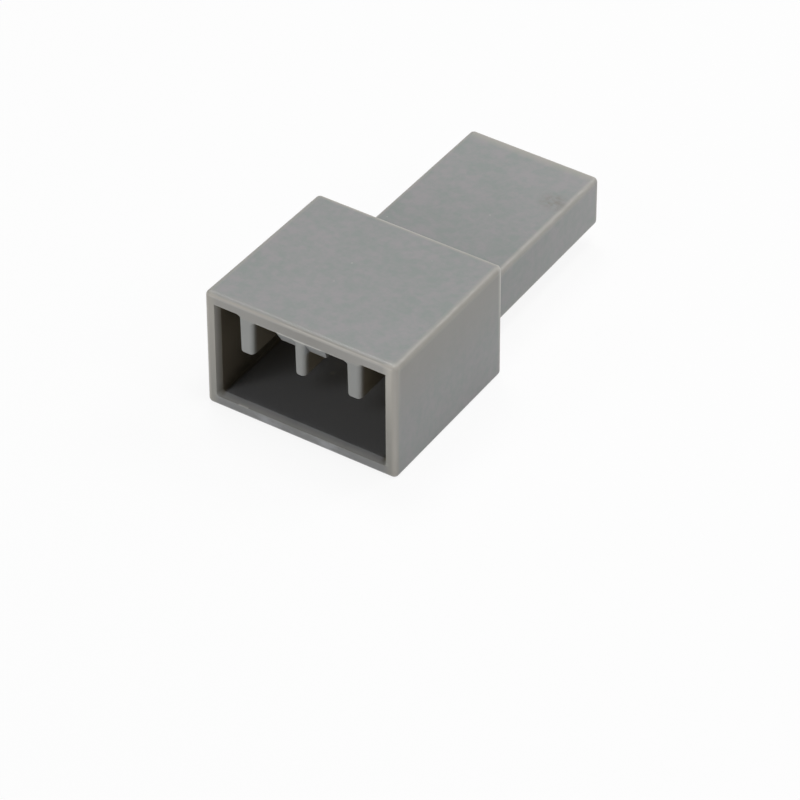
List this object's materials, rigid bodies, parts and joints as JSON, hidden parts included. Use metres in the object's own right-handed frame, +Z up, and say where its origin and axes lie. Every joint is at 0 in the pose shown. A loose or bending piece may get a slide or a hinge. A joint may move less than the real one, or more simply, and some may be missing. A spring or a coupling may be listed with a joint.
{
  "type": "pin connector plug",
  "caption": "Grey moulded connector plug with a rectangular shroud, keying ribs in the mouth, a row of blade contacts and a flat handle.",
  "frame": {"origin": "middle of the overall footprint, on the surface that the shroud rests on", "axes": "+Y from the mouth along the handle, +Z up from the underside of the shroud, X across the row of contacts"},
  "size_m": [0.02, 0.0386, 0.0124],
  "materials": {
    "housing_plastic": "satin moulded",
    "carrier_plastic": "satin moulded",
    "contact_metal": "stamped, dull",
    "strip_metal": "stamped, dull"
  },
  "bodies": {
    "root": {"housing": "housing_plastic", "contact_carrier": "carrier_plastic", "contact_1": "contact_metal", "contact_2": "contact_metal", "contact_3": "contact_metal", "contact_4": "contact_metal", "contact_5": "contact_metal", "shorting_strip": "strip_metal"}
  },
  "joints": []
}
